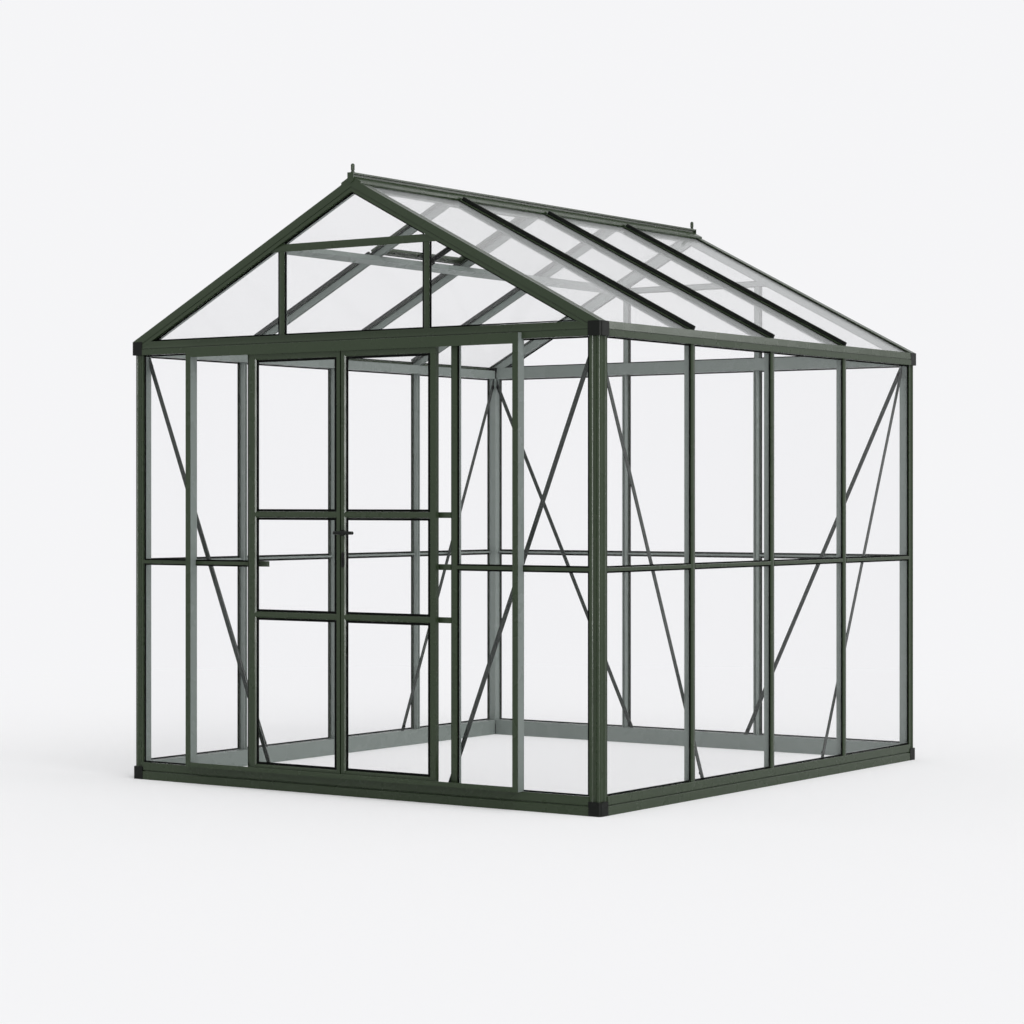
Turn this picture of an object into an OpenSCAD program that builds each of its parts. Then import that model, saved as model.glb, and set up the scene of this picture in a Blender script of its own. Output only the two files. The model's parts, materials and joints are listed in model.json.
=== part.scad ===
// Glazed garden greenhouse with a powder-coated aluminium frame and a pair of sliding doors.
// Millimetres, +Z up. The origin is at ground level in the middle of the overall box.
// The front, with the doors, faces -Y.

/* [Overall size] */
// Outer width of the base frame, left to right
base_width = 2290; // [2000:10:2800]
// Outer depth of the base frame, front to back
base_depth = 2560; // [2000:10:3400]
// Height of the top of the eaves above the ground
eave_top = 1795; // [1600:5:2000]
// Pitch of both roof slopes in degrees
roof_pitch = 27.5; // [22:0.5:32]

/* [Base frame] */
// Height of the base beams
base_height = 70; // [60:1:90]
// Thickness of the base beams, outside to inside
base_section = 50; // [46:1:70]
// Height of the lower, outer band of the base beams
base_band = 34; // [20:1:42]
// Height of the shadow groove above that band
base_groove = 3; // [2:0.5:5]
// Depth of the shadow groove, from the outer face of the base
base_groove_depth = 7; // [5:0.5:12]
// Set-back of the upper band of the base beams
base_step = 2; // [1:0.5:2.5]
// Chamfer of the outer edges of beams, tracks and crest
edge = 2; // [1:0.5:2]
// Height of the plastic corner shoes
shoe_height = 52; // [40:1:58]
// Reach of the shoes beyond the outer faces of the base
shoe_proud = 1; // [0.5:0.5:2]

/* [Corner posts] */
// Side of the square that a corner post fills, from the outer face of the base
corner_size = 52; // [46:1:60]
// Set-back of the posts from the outer face of the base
post_inset = 5; // [2:0.5:8]
// Radius of the rounded outer edge of a post
post_radius = 11; // [8:1:14]
// Width of the hollow that runs up each outer face of a post
cove_width = 24; // [16:1:26]
// Depth of that hollow
cove_depth = 6; // [3:0.5:6]

/* [Eaves] */
// Height of the eave beams
eave_height = 54; // [48:1:70]
// Thickness of the eave beams, outside to inside
eave_section = 50; // [42:1:52]
// Reach of the eave beams beyond the outer face of the base
eave_proud = 5; // [2:0.5:7]
// Height of the upper band of the eave beams
eave_band = 28; // [24:1:30]
// Size of the shadow line below that band
eave_line = 3; // [2:0.5:4]
// Depth of the hollow in the upper band of the gable eaves
eave_cove = 3; // [1:0.5:4]
// Thickness of the gutter lip
gutter_lip = 6; // [5:0.5:8]
// Lean of the outer face of the gutter lip
gutter_lean = 3; // [1:0.5:4]
// Width of the gutter trough
gutter_width = 13; // [10:0.5:16]
// Depth of the gutter trough below the lip
gutter_depth = 42; // [36:0.5:46]

/* [Glazing bars] */
// Number of bays along each side
side_bays = 4; // [3:1:6]
// Distance from the outer face of the base to the pane line at a corner
bay_margin = 40; // [30:1:60]
// Spacing of the two bars in the back wall and of the gable uprights
gable_spacing = 712; // [560:2:900]
// Width of the outer cap of a glazing bar
bar_cap = 28; // [22:1:36]
// Thickness of the outer cap
cap_thick = 8; // [5:0.5:12]
// Rise of the rounded outer faces of bars and rails
crown = 2.5; // [1:0.5:3.5]
// Width of the web between two panes
bar_web = 8; // [5:0.5:12]
// Width of the inner stem
bar_stem = 18; // [14:1:24]
// Overall depth of a glazing bar
bar_depth = 36; // [30:1:37]
// Set-back of the bars from the outer face of the base
bar_inset = 4; // [4:0.5:6]
// Width of the bolt slot in the inner face of a stem
slot_width = 7; // [4:0.5:9]
// Depth of the bolt slot
slot_depth = 10; // [5:0.5:14]

/* [Glass] */
// Thickness of the panes
glass = 4; // [3:0.5:6]
// Depth of the glazing grooves in posts and rafters
groove = 8; // [5:0.5:12]
// Gap between the edge of a pane and the bottom of its groove
edge_gap = 1; // [0.5:0.1:2]

/* [Mid rails] */
// Height of the centre of the horizontal rails above the ground
rail_z = 893; // [800:1:1000]
// Height of the outer face of a rail
rail_cap = 22; // [16:1:30]
// Overall depth of a rail
rail_depth = 24; // [20:1:28]

/* [Braces] */
// Width of the flat bracing bars
brace_width = 18; // [12:1:26]
// Thickness of the bracing bars
brace_thick = 4; // [2:0.5:5]
// Distance from a front corner to the foot of its front brace
front_brace_run = 705; // [500:5:740]
// Distance from a corner to the foot of a side brace
side_brace_run = 790; // [500:5:900]
// Distance of a back brace foot outside the middle of the back wall
back_brace_foot = 310; // [200:5:340]

/* [Gables and roof] */
// Depth of the gable rafters, square to the slope
rafter_depth = 46; // [40:1:60]
// Thickness of the gable rafters, front to back
rafter_thick = 40; // [36:1:52]
// Reach of the rafters beyond the outer face of the base
rafter_proud = 4; // [2:0.5:5]
// Depth of the outer band of the rafters, square to the slope
rafter_band = 30; // [22:1:34]
// Set-back of the inner band of the rafters
rafter_step = 1; // [0.5:0.5:2]
// Width of the shadow lines on the rafters
rafter_line = 3; // [2:0.5:4]
// Height of the gable rail
collar_height = 30; // [24:1:40]
// Height of the underside of the gable rail above the eaves
collar_rise = 329; // [280:1:340]
// Width of the gable uprights
upright_cap = 24; // [20:1:32]
// Distance from the eave line to the lower ends of roof bars and panes
roof_foot = 4; // [2:0.5:8]
// Height of the ridge crest above the meeting line of the slopes
crest_height = 21; // [18:1:40]
// Width of the bead along the crest
crest_width = 26; // [18:1:36]
// Thickness of the crest bead and of the ridge wings
crest_thick = 7; // [4:0.5:10]
// Thickness of the upright web of the ridge
ridge_web = 12; // [8:0.5:16]
// Drop of the ridge web below the meeting line of the slopes
ridge_drop = 46; // [38:1:56]
// Reach of each ridge wing down its slope, measured level
ridge_wing = 48; // [38:1:60]
// Height of the finial knobs, with their stems
finial_height = 35; // [28:1:60]
// Diameter of the finial knobs
finial_diameter = 15; // [12:1:24]
// Height of the collar and of the neck of a finial
finial_collar = 4; // [2:0.5:6]
// Thickness of the lip under the edge of a ridge wing
wing_lip_thick = 5; // [3:0.5:8]
// Thickness of the plates that close the ridge ends
end_plate = 3; // [2:0.5:6]
// Drop of those plates below the meeting line of the slopes
end_plate_drop = 22; // [10:1:30]

/* [Roof vent] */
// Level distance from the middle of the house to the bar under the vent
vent_bar_offset = 400; // [340:5:500]
// Width of the bar under the vent, along the slope
vent_bar_width = 36; // [26:1:46]
// Thickness of the bar under the vent
vent_bar_thick = 24; // [16:1:24]
// Bay of the roof vent, counted from the front
vent_bay = 2; // [1:1:3]
// Width of the members of the vent frame
vent_member = 30; // [24:1:40]
// Thickness of the vent frame
vent_thick = 14; // [10:1:20]
// Gap between the vent frame and the ridge wing
vent_gap = 1.3; // [0.5:0.1:4]
// Diameter of the cylinder of the vent opener
opener_diameter = 24; // [16:1:28]
// Length of the cylinder of the vent opener
opener_length = 170; // [120:5:220]
// Thickness of the arms and of the bracket of the vent opener
opener_arm = 4; // [2:0.5:6]
// Length of the bracket of the vent opener
opener_bracket = 30; // [20:1:50]
// Diameter of the knob on the vent opener
opener_knob = 34; // [28:1:44]

/* [Doors] */
// Width of each door leaf
leaf_width = 455; // [420:1:466]
// Place of the meeting line of the doors, to the right of the middle
door_offset = -38; // [-42:1:30]
// Place of the middle of the jambs and of the tracks, to the right of the middle
track_offset = -14; // [-18:1:30]
// Gap between the closed leaves
meeting_gap = 6; // [5:0.5:12]
// Thickness of a leaf
leaf_thick = 20; // [19:0.5:24]
// Width of the stiles where the leaves meet
meeting_stile = 21; // [18:1:40]
// Width of the outer stiles
outer_stile = 30; // [24:1:48]
// Height of the top rails
top_rail = 30; // [22:1:40]
// Height of the bottom rails
bottom_rail = 22; // [18:1:40]
// Height of the two cross rails
cross_rail = 24; // [18:1:36]
// Height of the lower cross rail above the ground
low_cross_z = 693; // [600:1:760]
// Height of the upper cross rail above the ground
high_cross_z = 1089; // [1030:1:1200]
// Depth of the glazing grooves in the leaves
leaf_groove = 6; // [4:0.5:8]
// Bevel around the front of the panes in the leaves
bevel = 5; // [2:0.5:6]
// Running clearance around the moving leaves
run_gap = 5; // [5:0.5:8]
// Distance between the centres of the jambs
jamb_spacing = 1000; // [990:2:1040]
// Reach of the guide arms inside the jamb centres
arm_reach = 90; // [50:1:95]
// Distance between the centres of the posts at the track ends
track_width = 1608; // [1560:2:1700]
// Width of the posts at the track ends
track_post = 24; // [18:1:36]
// Height of the sill track in front of the leaves
sill_top = 88; // [82:1:96]
// Drop of the head track below the eave beam
head_drop = 19; // [12:1:24]
// Height of the head track
head_height = 41; // [40:1:44]
// Overlap of the head track and the leaves
head_cover = 8; // [4:1:8]
// Wall thickness of the door tracks
track_wall = 4; // [3:0.5:5]
// Diameter of the door rollers
roller_diameter = 14; // [10:1:14]
// Width of the door rollers
roller_width = 6; // [4:0.5:7]
// Gap between a roller and the back of the head track
roller_gap = 1; // [0.5:0.1:1.5]
// Diameter of the roller axles
axle_diameter = 5; // [3:0.5:6]
// Width of the roller hangers
hanger_width = 36; // [24:1:50]
// Thickness of the roller hangers
hanger_thick = 3; // [2:0.5:4]

/* [Door handle] */
// Height of the lever above the ground
lever_z = 1019; // [960:1:1050]
// Length of the lever
lever_length = 96; // [60:1:110]
// Length of the part of the lever to the left of its rose
lever_tail = 26; // [10:1:40]
// Diameter of the lever bar
lever_bar = 13; // [10:0.5:14]
// Diameter of the stem of the lever
lever_stem = 9; // [6:0.5:9]
// Diameter of the handle rose
rose_diameter = 24; // [18:1:26]
// Thickness of the handle rose
rose_thick = 6; // [4:0.5:8]
// Distance from the leaf to the axis of the lever
lever_reach = 28; // [20:1:40]
// Height of the keyhole plate above the ground
keyhole_z = 915; // [860:1:940]
// Width of the keyhole plate
keyplate_width = 14; // [10:0.5:20]
// Height of the keyhole plate
keyplate_height = 60; // [40:1:80]
// Diameter of the round part of the keyhole
keyhole_diameter = 6; // [4:0.5:8]

/* [Hidden] */
$fn = 48;
// Seat clearance between neighbouring pieces
fit = 0.3;
frame_green = [0.24, 0.28, 0.21];
glass_tint = [0.86, 0.92, 0.90, 0.35];
plastic_black = [0.10, 0.11, 0.11];

// Walls and heights
half_w = base_width / 2;
half_d = base_depth / 2;
eave_bottom = eave_top - eave_height;
bay = (base_depth - 2 * bay_margin) / side_bays;
side_bars = [for (i = [1 : side_bays - 1]) -half_d + bay_margin + i * bay];
gable_bars = [-gable_spacing / 2, gable_spacing / 2];
jambs = [track_offset - jamb_spacing / 2, track_offset + jamb_spacing / 2];
rebate = glass + 2 * fit;
glass_u = bar_inset + cap_thick + fit;
brace_u = bar_inset + bar_depth + fit;

// Roof
slope_tan = tan(roof_pitch);
slope_cos = cos(roof_pitch);
slope_length = half_w / slope_cos;
apex = eave_top + half_w * slope_tan;
bar_top_end = slope_length - bar_depth * slope_tan - (ridge_web / 2 + fit) / slope_cos;
pane_top_end = slope_length - (ridge_web / 2 + edge_gap) / slope_cos - cap_thick;
vent_bar_y = (half_w - vent_bar_offset) / slope_cos;

// Doors, with depths counted from the outer face of the base, negative to the front
leaf_back = bar_inset - run_gap - fit;
leaf_front = leaf_back - leaf_thick;
track_front = leaf_front - run_gap - track_wall;
track_back = -eave_proud - fit;
lip_back = track_back - track_wall;
lip_front = leaf_front + hanger_thick + run_gap;
head_bottom = eave_bottom - head_drop;
head_top = head_bottom + head_height;
leaf_top = head_bottom + head_cover;
lip_bottom = leaf_top + run_gap;
lip_top = lip_bottom + track_wall;
sill_floor = base_height + fit;
sill_back = bar_inset + cap_thick - fit;
leaf_bottom = sill_floor + track_wall + run_gap;
leaf_outer = meeting_gap / 2 + leaf_width;
post_inner = track_width / 2 - track_post / 2;
leaf_glass_u = leaf_front + (leaf_thick - glass) / 2;
cross_rails = [low_cross_z, high_cross_z];
light_x0 = meeting_gap / 2 + meeting_stile;
light_x1 = leaf_outer - outer_stile;
light_bottoms = concat([leaf_bottom + bottom_rail], [for (z = cross_rails) z + cross_rail / 2]);
light_tops = concat([for (z = cross_rails) z - cross_rail / 2], [leaf_top - top_rail]);
lever_u = leaf_front - lever_reach;

// The overall box is centred on the origin
front_reach = -lever_u + lever_bar / 2;
back_reach = max(eave_proud, rafter_proud + fit + end_plate);
front_y = front_reach - (base_depth + front_reach + back_reach) / 2;
mid_y = front_y + half_d;

// Height of the outer roof surface above the ground at a level distance from the middle
function roof_z(x) = apex - abs(x) * slope_tan;

// Radius of an arc with a given width and rise
function arc_radius(width, rise) = (width * width / 4 + rise * rise) / (2 * rise);

// Wall frames: x runs along the wall as seen from outside, y runs inward, z is height
module on_front() { translate([0, front_y, 0]) children(); }
module on_back() { translate([0, front_y + base_depth, 0]) rotate([0, 0, 180]) children(); }
module on_right() { translate([half_w, mid_y, 0]) rotate([0, 0, 90]) children(); }
module on_left() { translate([-half_w, mid_y, 0]) rotate([0, 0, -90]) children(); }

// The front wall's frame, moved to the meeting line of the doors, and to the middle of the tracks
module on_doors() { on_front() translate([door_offset, 0, 0]) children(); }
module on_tracks() { on_front() translate([track_offset, 0, 0]) children(); }

// Roof frames: x runs along the eaves, y up the slope from the eaves, z out of the roof
module on_right_roof() { translate([0, 0, eave_top]) on_right() rotate([roof_pitch, 0, 0]) children(); }
module on_left_roof() { translate([0, 0, eave_top]) on_left() rotate([roof_pitch, 0, 0]) children(); }

// A section with x as depth and y as height, run along a wall from x0 to x1
module run_along(x0, x1) {
    translate([x0, 0, 0]) rotate([90, 0, 90]) linear_extrude(x1 - x0) children();
}

// An outline with x along the wall and y as height, given a thickness inward from u0
module plate(u0, thick) {
    translate([0, u0 + thick, 0]) rotate([90, 0, 0]) linear_extrude(thick) children();
}

// Four copies, one at each corner of the base; x and y run inward from the corner
module at_corners() {
    for (sx = [-1, 1]) for (sy = [-1, 1])
        translate([sx * half_w, mid_y + sy * half_d, 0])
            rotate([0, 0, sx * sy > 0 ? (sx > 0 ? 180 : 0) : (sx > 0 ? 90 : -90)]) children();
}

// A crowned cap of a given width, with its outer face at y = 0
module cap_section(width) {
    radius = arc_radius(width, crown);
    intersection() {
        translate([-width / 2, 0]) square([width, cap_thick]);
        translate([0, radius]) circle(r = radius);
    }
}

// Section of a glazing bar: outer cap, web between the panes and slotted inner stem
module bar_section() {
    cap_section(bar_cap);
    difference() {
        union() {
            translate([-bar_web / 2, cap_thick / 2]) square([bar_web, bar_depth - cap_thick / 2]);
            translate([-bar_stem / 2, cap_thick + rebate])
                square([bar_stem, bar_depth - cap_thick - rebate]);
        }
        translate([-slot_width / 2, bar_depth - slot_depth]) square([slot_width, slot_depth]);
    }
}

// An upright glazing bar in a wall frame
module wall_bar(x, z0, z1) {
    translate([x, bar_inset, z0]) linear_extrude(z1 - z0) bar_section();
}

// A glazing bar that runs up a roof slope
module roof_bar(x) {
    translate([x, roof_foot, 0]) rotate([-90, 0, 0])
        linear_extrude(bar_top_end - roof_foot) bar_section();
}

// Section of a rail or a gable upright: a cap of a given width, a web and an unslotted stem
module rail_section(width) {
    translate([0, bar_inset]) {
        cap_section(width);
        translate([-bar_web / 2, cap_thick / 2]) square([bar_web, rail_depth - cap_thick / 2]);
        translate([-bar_stem / 2, cap_thick + rebate])
            square([bar_stem, rail_depth - cap_thick - rebate]);
    }
}

// A rail along a wall frame, with its centre at a given height
module rail(x0, x1, z, height) {
    translate([0, 0, z]) run_along(x0, x1) mirror([1, -1, 0]) rail_section(height);
}

// Stops of panes and rails along a wall of a given length with bars at given places
function pane_starts(length, bars) =
    concat([-length / 2 + corner_size - groove + edge_gap], [for (b = bars) b + bar_web / 2 + edge_gap]);
function pane_ends(length, bars) =
    concat([for (b = bars) b - bar_web / 2 - edge_gap], [length / 2 - corner_size + groove - edge_gap]);
function rail_starts(length, bars) =
    concat([-length / 2 + corner_size + fit], [for (b = bars) b + bar_cap / 2 + fit]);
function rail_ends(length, bars) =
    concat([for (b = bars) b - bar_cap / 2 - fit], [length / 2 - corner_size - fit]);

// Lower and upper panes of chosen bays of a wall
module wall_panes(length, bars, bays) {
    starts = pane_starts(length, bars);
    ends = pane_ends(length, bars);
    low = base_height + fit;
    high = eave_bottom - fit;
    for (i = bays) {
        translate([starts[i], glass_u, low])
            cube([ends[i] - starts[i], glass, rail_z - bar_web / 2 - edge_gap - low]);
        translate([starts[i], glass_u, rail_z + bar_web / 2 + edge_gap])
            cube([ends[i] - starts[i], glass, high - rail_z - bar_web / 2 - edge_gap]);
    }
}

// Mid rails of chosen bays of a wall
module wall_rails(length, bars, bays) {
    starts = rail_starts(length, bars);
    ends = rail_ends(length, bars);
    for (i = bays) rail(starts[i], ends[i], rail_z, rail_cap);
}

// A flat brace from under the eaves at the corner on the left of a wall to its foot on the base
module brace(length, foot_x) {
    top_x = -length / 2 + corner_size + fit;
    foot_z = base_height + fit;
    fall = eave_bottom - foot_z - brace_width;
    lean = atan2(fall, foot_x - top_x);
    dx = brace_width / 2 / sin(lean);
    dz = brace_width / 2 / cos(lean);
    top_z = eave_bottom - fit - dz;
    plate(brace_u, brace_thick)
        polygon([[foot_x - dx, foot_z], [foot_x + dx, foot_z], [top_x, top_z + dz], [top_x, top_z - dz]]);
}

// A pair of mirrored braces
module brace_pair(length, foot_x) {
    brace(length, foot_x);
    mirror([1, 0, 0]) brace(length, foot_x);
}

// Base beam between two corner shoes: two bands with a shadow groove between them
module base_beam(length) {
    upper = base_band + base_groove;
    run_along(-length / 2 + corner_size + fit, length / 2 - corner_size - fit)
        polygon([[0, 0], [base_section, 0], [base_section, base_height],
            [base_step + edge, base_height], [base_step, base_height - edge],
            [base_step, upper + edge], [base_step + edge, upper], [base_groove_depth, upper],
            [base_groove_depth, base_band], [edge, base_band], [0, base_band - edge]]);
}

// Outline of a corner piece with one rounded outer edge, starting at a given set-back
module corner_outline(start, radius) {
    side = corner_size - start;
    translate([start, start]) difference() {
        square([side, side]);
        difference() {
            square([radius, radius]);
            translate([radius, radius]) circle(r = radius);
        }
    }
}

// Section of a corner post: a bead at the corner, a hollow in each face and two glazing grooves
module post_section() {
    radius = arc_radius(cove_width, cove_depth);
    cove_at = (post_inset + post_radius + corner_size - groove) / 2;
    cove_u = post_inset + cove_depth - radius;
    difference() {
        corner_outline(post_inset, post_radius);
        translate([cove_at, cove_u]) circle(r = radius);
        translate([cove_u, cove_at]) circle(r = radius);
        translate([corner_size - groove, glass_u - fit]) square([groove, rebate]);
        translate([glass_u - fit, corner_size - groove]) square([rebate, groove]);
    }
}

// Eave beam over a gable wall: a hollowed upper band, a shadow line and a plain lower band,
// cut away at both ends for the feet of the rafters
module gable_eave() {
    line_z = eave_top - eave_band;
    radius = arc_radius(eave_band - 2 * edge, eave_cove);
    difference() {
        run_along(-half_w + corner_size + fit, half_w - corner_size - fit) difference() {
            translate([-eave_proud, eave_bottom]) square([eave_section, eave_height]);
            translate([-eave_proud, line_z - eave_line]) square(eave_line);
            translate([eave_cove - eave_proud - radius, line_z + eave_band / 2]) circle(r = radius);
        }
        for (side = [0, 1]) mirror([side, 0, 0])
            plate(-2 * eave_proud, eave_section + 2 * eave_proud) rafter_foot_space();
    }
}

// Side eave beam: an open gutter with a leaning lip, a shadow line below it and a sloping seat
// for the roof bars
module gutter() {
    trough = gutter_lip - eave_proud;
    inner = trough + gutter_width;
    floor_z = eave_top - gutter_depth;
    line_z = eave_top - eave_band;
    function seat_z(u) = eave_top + u * slope_tan - (bar_depth + fit) / slope_cos;
    run_along(-half_d + corner_size + fit, half_d - corner_size - fit)
        polygon([[-eave_proud, eave_bottom], [eave_section, eave_bottom],
            [eave_section, seat_z(eave_section)], [inner, seat_z(inner)], [inner, floor_z],
            [trough, floor_z], [trough, eave_top], [gutter_lean - eave_proud, eave_top],
            [-eave_proud, line_z], [eave_line - eave_proud, line_z],
            [eave_line - eave_proud, line_z - eave_line], [-eave_proud, line_z - eave_line]]);
}

// Space of the glazing grooves along both gable rafters of one slope, and past the corner caps
module roof_grooves() {
    wide = corner_size - rafter_thick + 2 * groove;
    for (x = [half_d - corner_size - groove, -half_d + rafter_thick - groove])
        translate([x, roof_foot - fit, -cap_thick - rebate]) cube([wide, slope_length, rebate]);
}

// Shadow lines along the outer faces of both gable rafters of one slope
module rafter_ribs() {
    for (side = [-1, 1]) for (k = [1, 2])
        translate([side * (half_d - k * rafter_thick / 3) - rafter_line / 2, 0, -rafter_line / 2])
            cube([rafter_line, slope_length, rafter_line]);
}

// A strip along the right slope of a gable, between two depths under the roof surface
module slope_strip(d0, d1) {
    polygon([[0, apex - d0 / slope_cos], [half_w, eave_top - d0 / slope_cos],
        [half_w, eave_top - d1 / slope_cos], [0, apex - d1 / slope_cos]]);
}

// One gable rafter, from its foot beside the corner cap to its mitre, on the right of a gable
module rafter() {
    foot_z = eave_top + fit;
    foot_x = half_w - corner_size - fit;
    head = fit / 2;
    difference() {
        plate(-rafter_proud, rafter_thick + rafter_proud)
            polygon([[half_w - fit / slope_tan, foot_z], [head, roof_z(head)],
                [head, roof_z(head) - rafter_depth / slope_cos],
                [foot_x, roof_z(foot_x) - rafter_depth / slope_cos], [foot_x, foot_z]]);
        plate(-rafter_proud - fit, rafter_line + fit)
            slope_strip(rafter_band, rafter_band + rafter_line);
        plate(-rafter_proud - fit, rafter_step + fit) slope_strip(rafter_band, rafter_depth + edge);
    }
}

// A gable's two rafters, with their glazing grooves and shadow lines still to be cut
module rafter_pair() {
    rafter();
    mirror([1, 0, 0]) rafter();
}

// The cuts that both slopes make in the gable rafters
module rafter_cuts() {
    on_right_roof() roof_grooves();
    on_left_roof() roof_grooves();
    on_right_roof() rafter_ribs();
    on_left_roof() rafter_ribs();
}

// Space of the foot of the right-hand rafter, above the eave beam and beside the corner cap
module rafter_foot_space() {
    foot_x = half_w - corner_size - fit;
    toe = half_w - (rafter_depth + fit) / slope_cos / slope_tan;
    polygon([[toe, eave_top], [foot_x, under_rafter(foot_x)], [half_w, under_rafter(foot_x)],
        [half_w, eave_top + rafter_depth], [toe, eave_top + rafter_depth]]);
}

// Level of the underside of the rafters, less the seat clearance
function under_rafter(x) = roof_z(x) - (rafter_depth + fit) / slope_cos;

// Outline of the space under both rafters of a gable, above the eaves
module gable_outline() {
    foot_z = eave_top + fit;
    toe = half_w - ((rafter_depth + fit) / slope_cos + fit) / slope_tan;
    polygon([[-toe, foot_z], [toe, foot_z], [0, under_rafter(0)]]);
}

// A gable's uprights and its rail, cut off under the rafters
module gable_frame() {
    rise = collar_rise - 2 * fit;
    intersection() {
        plate(bar_inset, bar_depth) gable_outline();
        union() {
            for (x = gable_bars) translate([x, 0, eave_top + fit])
                linear_extrude(rise) rail_section(upright_cap);
            rail(-half_w, half_w, eave_top + collar_rise + collar_height / 2, collar_height);
        }
    }
}

// The panes of one gable: a wedge at each side, a middle pane and a small one at the peak
module gable_panes() {
    middle = eave_top + collar_rise + collar_height / 2;
    rim = bar_web / 2 + edge_gap;
    inner = gable_spacing / 2 - rim;
    outer = gable_spacing / 2 + rim;
    plate(glass_u, glass) intersection() {
        gable_outline();
        union() {
            translate([-inner, 0]) square([2 * inner, middle - rim]);
            translate([-inner, middle + rim]) square([2 * inner, half_w]);
            translate([outer, 0]) square([half_w, middle - rim]);
            translate([-outer - half_w, 0]) square([half_w, middle - rim]);
        }
    }
}

// Stops of the roof panes along a slope
roof_starts = concat([-half_d + rafter_thick - groove + edge_gap],
    [for (b = side_bars) b + bar_web / 2 + edge_gap]);
roof_ends = concat([for (b = side_bars) b - bar_web / 2 - edge_gap],
    [half_d - rafter_thick + groove - edge_gap]);

// One roof pane in a bay, from a start to an end up the slope
module roof_pane(i, y0, y1) {
    translate([roof_starts[i], y0, -cap_thick - fit - glass])
        cube([roof_ends[i] - roof_starts[i], y1 - y0, glass]);
}

// Bay of the vent as the left slope counts its bays, from the back
vent_index = side_bays - vent_bay;
vent_x0 = roof_starts[vent_index] - bar_web / 2;
vent_x1 = roof_ends[vent_index] + bar_web / 2;
vent_y0 = vent_bar_y - vent_bar_width / 2;
vent_y1 = slope_length - ridge_wing / slope_cos - vent_gap;
vent_mid = (vent_x0 + vent_x1) / 2;

// A door leaf's stiles and rails, for the leaf on the right
module leaf_frame() {
    difference() {
        union() {
            translate([meeting_gap / 2, leaf_front, leaf_bottom])
                cube([meeting_stile, leaf_thick, leaf_top - leaf_bottom]);
            translate([light_x1, leaf_front, leaf_bottom])
                cube([outer_stile, leaf_thick, leaf_top - leaf_bottom]);
            leaf_rail(leaf_bottom, bottom_rail);
            leaf_rail(leaf_top - top_rail, top_rail);
            for (z = cross_rails) leaf_rail(z - cross_rail / 2, cross_rail);
        }
        for (i = [0 : 2]) {
            leaf_light(i, 0);
            leaf_bevel(i);
        }
    }
}

// A rail between the stiles of the leaf on the right
module leaf_rail(z, height) {
    translate([light_x0 + fit, leaf_front, z]) cube([light_x1 - light_x0 - 2 * fit, leaf_thick, height]);
}

// The space of one pane in its grooves, drawn in by a gap on all sides; 0 is the lowest
module leaf_light(i, gap) {
    rim = leaf_groove - gap;
    side = gap > 0 ? fit : 0;
    translate([light_x0 - rim, leaf_glass_u - fit + side, light_bottoms[i] - rim])
        cube([light_x1 - light_x0 + 2 * rim, rebate - 2 * side, light_tops[i] - light_bottoms[i] + 2 * rim]);
}

// The bevel around the front of one pane
module leaf_bevel(i) {
    depth = bevel + fit;
    w = (light_x1 - light_x0) / 2;
    h = (light_tops[i] - light_bottoms[i]) / 2;
    translate([(light_x0 + light_x1) / 2, leaf_front - fit, (light_bottoms[i] + light_tops[i]) / 2])
        intersection() {
            translate([0, 0, -h - depth]) linear_extrude(2 * (h + depth))
                polygon([[-w - depth, 0], [w + depth, 0], [w, depth], [-w, depth]]);
            run_along(-w - depth, w + depth)
                polygon([[0, -h - depth], [depth, -h], [depth, h], [0, h + depth]]);
        }
}

// A door leaf's three panes, for the leaf on the right
module leaf_glass() {
    for (i = [0 : 2]) leaf_light(i, edge_gap);
}

// The two hangers of a leaf, each a plate on the top rail with a wheel on the runner
module leaf_rollers() {
    radius = roller_diameter / 2;
    axle_z = lip_top + fit + radius;
    wheel_u = lip_back - roller_gap - roller_width;
    for (x = [light_x0 + hanger_width, light_x1 - hanger_width]) {
        translate([x - hanger_width / 2, leaf_front, leaf_top + fit])
            cube([hanger_width, hanger_thick, axle_z + radius - leaf_top - fit]);
        translate([x, wheel_u, axle_z]) rotate([-90, 0, 0]) cylinder(d = roller_diameter, h = roller_width);
        translate([x, leaf_front, axle_z]) rotate([-90, 0, 0])
            cylinder(d = axle_diameter, h = wheel_u - leaf_front + roller_width / 2);
    }
}

module base_front() { color(frame_green) on_front() base_beam(base_width); }
module base_back() { color(frame_green) on_back() base_beam(base_width); }
module base_left() { color(frame_green) on_left() base_beam(base_depth); }
module base_right() { color(frame_green) on_right() base_beam(base_depth); }

module base_corner_shoes() {
    color(plastic_black) at_corners() linear_extrude(shoe_height - fit)
        corner_outline(-shoe_proud, post_radius);
}

module corner_posts() {
    color(frame_green) at_corners() translate([0, 0, shoe_height])
        linear_extrude(eave_bottom - fit - shoe_height) post_section();
}

module eave_front() { color(frame_green) on_front() gable_eave(); }
module eave_back() { color(frame_green) on_back() gable_eave(); }
module gutter_left() { color(frame_green) on_left() gutter(); }
module gutter_right() { color(frame_green) on_right() gutter(); }

module eave_corner_caps() {
    color(plastic_black) difference() {
        at_corners() translate([0, 0, eave_bottom]) linear_extrude(eave_height)
            corner_outline(-eave_proud, post_radius);
        on_right_roof() roof_grooves();
        on_left_roof() roof_grooves();
    }
}

module left_wall_bars() {
    color(frame_green) on_left() for (x = side_bars) wall_bar(x, base_height + fit, eave_bottom - fit);
}

module right_wall_bars() {
    color(frame_green) on_right() for (x = side_bars) wall_bar(x, base_height + fit, eave_bottom - fit);
}

module back_wall_bars() {
    color(frame_green) on_back() for (x = gable_bars) wall_bar(x, base_height + fit, eave_bottom - fit);
}

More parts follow.
